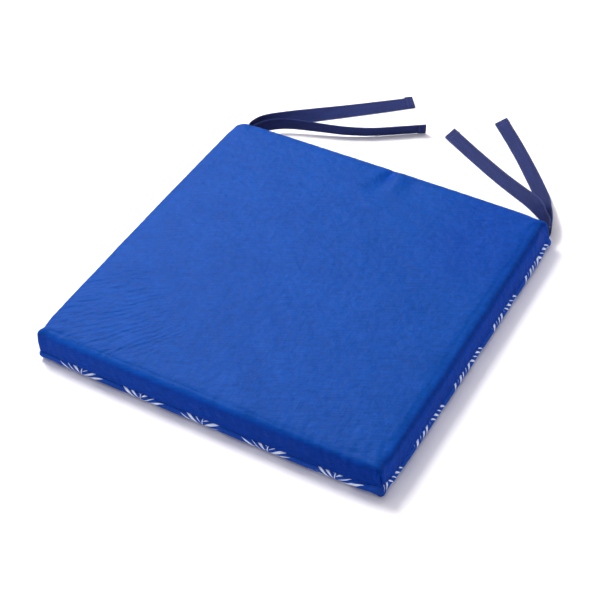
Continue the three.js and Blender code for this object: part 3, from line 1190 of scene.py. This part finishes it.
def printFinish():
    finish = Finish("leafPrintCotton")
    place = finish.clothPlace()
    u, v = finish.parts(place)
    drawn = []
    waver = finish.parts(finish.noise(place, 0.022, 1.0).out("Color"))
    for flat, shift, uneven in zip((u, v), printLook["shift"], waver):
        drawn.append(flat + shift + (uneven - 0.5) * printLook["waver"])
    motif = finish.larger(*[sprigMask(finish, *drawn, sprig) for sprig in sprigs])
    weave = finish.plainWeave(u, v, printLook["thread"])
    slubs = finish.grain(place, printLook["slub"])
    x, y = finish.scenePlace("XY")
    # The weave and slubs vary the tone, and painted shade darkens the right front corner
    corner = finish.ebb(finish.distance(x, y, printLook["darkCorner"]), *printLook["cornerFades"])
    light = (0.93 + 0.07 * weave + 0.1 * (slubs - 0.5)) * (1 - printLook["cornerShade"] * corner)
    atSeam = finish.seamShade(u, v, baseCloth["cut"] / 2, printLook["seamWidth"], printLook["seamShade"])
    colour = finish.shade(finish.blend(motif, printLook["ground"], printLook["motif"]), light * atSeam)
    return finish.surface(colour, 0.5 + 0.1 * slubs, 0.03, 0.04 * weave + 0.05 * slubs)


tapeLook = {
    "colour": (0.0222, 0.0325, 0.126, 1.0),
    # painted shade colour for the stitched grooves and towards the root
    "deepToneAndShade": (0.0072, 0.0125, 0.058, 1.0),
    # painted highlight for the tape's edges
    "paintedEdgeHighlight": (0.06, 0.09, 0.30, 1.0),
    "rib": 1.15,
    "ribSlant": 0.45,
    "thread": 0.8,
    "speck": (0.7, 1.6),
    "wear": (5.0, 30.0),
    "lineFades": (0.02, 0.1),
    "lineShade": 0.55,
    "rootAt": 242.0,
    "rootFades": (15.0, 130.0),
    "rootShade": 0.6,
    "edgeHighlightFades": (0.89, 0.97),
    "edgeHighlightShare": 0.75,
}


def tapeFinish():
    finish = Finish("navyTape")
    place = finish.clothPlace()
    u, v = finish.parts(place)
    ribs = abs(finish.sine((u + tapeLook["ribSlant"] * v) * (math.pi / tapeLook["rib"])))
    weave = 0.6 * ribs + 0.4 * abs(finish.sine(v * (math.pi / tapeLook["thread"])))
    specks = finish.grain(place, tapeLook["speck"], 3.0, 0.7)
    worn = finish.grain(place, tapeLook["wear"])
    edge = abs(u) / (tape["width"] / 2)
    nearLine = finish.ebb(abs(edge - stitchLine), *tapeLook["lineFades"])
    nearRoot = finish.ebb(abs(v - tapeLook["rootAt"]), *tapeLook["rootFades"])
    # Painted highlight along the tape's edges, where they catch the light
    paintedEdgeHighlight = tapeLook["edgeHighlightShare"] * finish.step(edge, *tapeLook["edgeHighlightFades"])
    # Painted shade along the stitched grooves and towards the root of each tie
    colour = finish.blend(tapeLook["lineShade"] * nearLine, tapeLook["colour"], tapeLook["deepToneAndShade"])
    colour = finish.blend(tapeLook["rootShade"] * nearRoot, colour, tapeLook["deepToneAndShade"])
    colour = finish.blend(paintedEdgeHighlight, colour, tapeLook["paintedEdgeHighlight"])
    colour = finish.shade(colour, 0.62 + 0.36 * weave + 1.5 * (specks - 0.5) + 0.5 * (worn - 0.5))
    return finish.surface(colour, 0.55 + 0.1 * specks, 0.04, 0.09 * weave + 0.08 * specks)


threadLook = {"colour": (0.05, 0.065, 0.2, 1.0), "twist": 2500.0}


def threadFinish():
    finish = Finish("navyThread")
    twist = finish.noise(finish.objectPlace(), threadLook["twist"], 1.0)
    colour = finish.shade(threadLook["colour"], 0.75 + 0.5 * twist)
    return finish.surface(colour, 0.5 + 0.2 * twist, 0.5, sheen=0.1)


# Stitches

tieSewing = {"Pitch": 2.7, "Length": 2.0, "Thickness": 0.34}
# How high the rows lie on the cloth; the two rows across the turned end, as shares of its length, and
# how far they reach across
sewingRows = {"lift": 0.05, "endLift": 0.02, "endShares": (0.18, 0.82), "endReach": 0.84}


# Rows of stitches are made along lines by Geometry Nodes, one stitch every pitch, lying the way
# that the line's "lie" attribute says.
def stitchTree(finish, sizes):
    tree = bpy.data.node_groups.new("stitchRows", "GeometryNodeTree")
    for way in ("INPUT", "OUTPUT"):
        tree.interface.new_socket("Geometry", in_out=way, socket_type="NodeSocketGeometry")
    inputs = {}
    for name, size in sizes.items():
        socket = tree.interface.new_socket(name, in_out="INPUT", socket_type="NodeSocketFloat")
        socket.default_value = size * mm
        inputs[name] = socket.identifier

    def node(kind, sockets=None, settings=None):
        return addNode(tree, kind, settings, sockets).outputs

    given = node("NodeGroupInput")
    lines = node("GeometryNodeMeshToCurve", {"Mesh": given["Geometry"]})
    along = {"Curve": lines["Curve"], "Length": given["Pitch"]}
    spaced = node("GeometryNodeResampleCurve", along, {"mode": "LENGTH"})
    lie = node("GeometryNodeInputNamedAttribute", {"Name": "lie"}, {"data_type": "FLOAT_VECTOR"})
    turned = node("FunctionNodeAlignRotationToVector", {"Vector": lie["Attribute"]}, {"axis": "X"})
    uneven = node("FunctionNodeRandomValue", {2: 0.88, 3: 1.08, "Seed": 4}, {"data_type": "FLOAT"})
    ball = node("GeometryNodeMeshUVSphere", {"Segments": 6, "Rings": 5, "Radius": 0.5})
    wide = {"X": given["Length"], "Y": given["Thickness"], "Z": given["Thickness"]}
    size = node("ShaderNodeCombineXYZ", wide)
    stitch = node("GeometryNodeTransform", {"Geometry": ball["Mesh"], "Scale": size[0]})
    placed = node("GeometryNodeInstanceOnPoints", {
        "Points": spaced["Curve"], "Instance": stitch["Geometry"],
        "Rotation": turned["Rotation"], "Scale": uneven[1],
    })
    real = node("GeometryNodeRealizeInstances", {"Geometry": placed["Instances"]})
    rounded = node("GeometryNodeSetShadeSmooth", {"Geometry": real["Geometry"]})
    coloured = node("GeometryNodeSetMaterial", {"Geometry": rounded[0], "Material": finish})
    node("NodeGroupOutput", {"Geometry": coloured["Geometry"]})
    return tree, inputs


# rows is a list of (points, lie) arrays, in millimetres
def makeStitches(name, rows, finish, sizes):
    points, lies = (np.concatenate(part) for part in zip(*rows))
    starts = np.cumsum([len(line) for line, lie in rows])
    edges = [(k, k + 1) for k in range(len(points) - 1) if k + 1 not in starts]
    mesh = bpy.data.meshes.new(name)
    mesh.from_pydata((points * mm).tolist(), edges, [])
    lie = mesh.attributes.new("lie", "FLOAT_VECTOR", "POINT")
    lie.data.foreach_set("vector", lies.astype(np.float32).ravel())
    piece = addObject(name, mesh)
    tree, inputs = stitchTree(finish, sizes)
    sewing = piece.modifiers.new("sewing", "NODES")
    sewing.node_group = tree
    for key, value in sizes.items():
        sewing[inputs[key]] = value * mm
    keepShape(piece)
    spare = piece.data.attributes.get("lie")
    if spare is not None:
        piece.data.attributes.remove(spare)
    return piece


# Rows along both edges of a tail, on both its faces, and two rows across its turned end
def tailRows(tail):
    run, through = pathRun(tail), throughOf(tail)
    first = round(tape["rootLength"] / tape["step"])
    rows = []
    for face in (1, -1):
        for place in (-stitchLine, stitchLine):
            points = tapePoint(tail, through, place, face) + through * face * sewingRows["lift"]
            last = len(points) - (1 if face < 0 else round(tape["hemLength"] / tape["step"]))
            rows.append((points[first:last], run[first:last]))
    across = tail["across"][-1]
    places = np.linspace(-sewingRows["endReach"], sewingRows["endReach"], 9)[:, None]
    for face in (1, -1):
        for share in sewingRows["endShares"]:
            lift, shift = tape["thickness"] / 2 + sewingRows["endLift"], 0.0
            if face > 0:
                # over the turned part, which lies on this face
                lift += tape["thickness"] + tape["hemGap"]
                shift = tape["hemShift"] * (0.5 + 0.5 * share)
            base = tail["middle"][-1] - run[-1] * tape["hemLength"] * share + through[-1] * face * lift
            line = base + across * (places * tape["width"] / 2 + shift) + tail["skew"][-1] * places
            rows.append((line, np.tile(across, (len(line), 1))))
    return rows


# The finished scene

def makeCamera():
    yaw, pitch, roll = (math.radians(cameraView[key]) for key in ("yaw", "pitch", "roll"))
    ahead = Vector((math.sin(yaw) * math.cos(pitch), math.cos(yaw) * math.cos(pitch), -math.sin(pitch)))
    level = Vector((math.cos(yaw), -math.sin(yaw), 0.0))
    upright = level.cross(ahead)
    right = level * math.cos(roll) + upright * math.sin(roll)
    up = upright * math.cos(roll) - level * math.sin(roll)
    data = bpy.data.cameras.new("camera")
    data.lens = cameraView["lens"]
    data.sensor_width = cameraView["sensor"]
    data.clip_start = 0.05
    data.clip_end = 60.0
    camera = addObject("camera", data)
    turned = Matrix((right, up, -ahead)).transposed().to_4x4()
    camera.matrix_world = Matrix.Translation(Vector(cameraView["place"]) * mm) @ turned
    bpy.context.scene.camera = camera


# Softboxes: where each stands, its size in metres and its power. They look at the cushion. The
# sheen only shines in the cloths, and the others only light them.
softboxes = [
    {"name": "key", "place": (-1.0, 0.33, 1.72), "size": 0.6, "power": 37.0, "colour": (1.0, 0.99, 0.96)},
    {"name": "ceiling", "place": (-0.8, 0.5, 2.4), "size": 2.4, "power": 31.0, "colour": (0.98, 0.98, 1.0)},
    {"name": "fill", "place": (2.2, 0.7, 0.45), "size": 0.8, "power": 5.5, "colour": (0.98, 0.98, 1.0)},
    {"name": "sheen", "place": (-1.75, 1.2, 2.1), "size": 2.0, "power": 175.0, "colour": (1.0, 0.99, 0.96)},
]
room = {
    "floorSize": 6.0,
    "floorColour": (0.93, 0.92, 0.92, 1.0),
    "floorSheen": (0.3, 0.3, 0.34, 1.0),
    "air": (0.90, 0.87, 0.97, 1.0),
    "airStrength": 0.55,
}


def makeLights():
    for box in softboxes:
        data = bpy.data.lights.new(box["name"], "AREA")
        data.size = box["size"]
        data.energy = box["power"]
        data.color = box["colour"]
        light = addObject(box["name"], data)
        light.visible_glossy = box["name"] == "sheen"
        light.visible_diffuse = not light.visible_glossy
        light.location = box["place"]
        light.rotation_euler = (-Vector(box["place"])).to_track_quat("-Z", "Y").to_euler()
    world = bpy.data.worlds.new("studio")
    world.use_nodes = True
    background = world.node_tree.nodes["Background"]
    background.inputs["Color"].default_value = room["air"]
    background.inputs["Strength"].default_value = room["airStrength"]
    bpy.context.scene.world = world


def makeFloor():
    half = room["floorSize"] / 2 / mm
    corners = [(x, y, -0.2) for x, y in ((-half, -half), (half, -half), (half, half), (-half, half))]
    floor = makeMesh("floor", corners, [[0, 1, 2, 3]], floorFinish())


# White paper that looks darker where it shines in the cloth
def floorFinish():
    finish = Finish("whitePaper")
    mirrored = finish.node("ShaderNodeLightPath", output="Is Glossy Ray")
    colour = finish.blend(mirrored, room["floorColour"], room["floorSheen"])
    return finish.surface(colour, 0.9, 0.0)


makeCamera()
makeLights()
makeFloor()
print("camera, lights and floor placed")

cover = makeCover(coverFinish())
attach(cover, "root")
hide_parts("cushion_body")
print("cover made", len(cover.data.polygons), "faces")

base = makeBase(printFinish())
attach(base, "root")
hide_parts("base_panel")
print("base cloth made", len(base.data.polygons), "faces")

navy = tapeFinish()
rows = []
for tie in ties:
    path, tails = tiePath(tie)
    piece = makeTie(tie, path, navy)
    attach(piece, "root")
    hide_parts(tie["name"])
    for tail in tails:
        rows += tailRows(tail)
sewing = makeStitches("tie_stitches", rows, threadFinish(), tieSewing)
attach(sewing, "root")
print("ties sewn", len(sewing.data.polygons), "faces")

bpy.context.scene.view_settings.view_transform = "Standard"
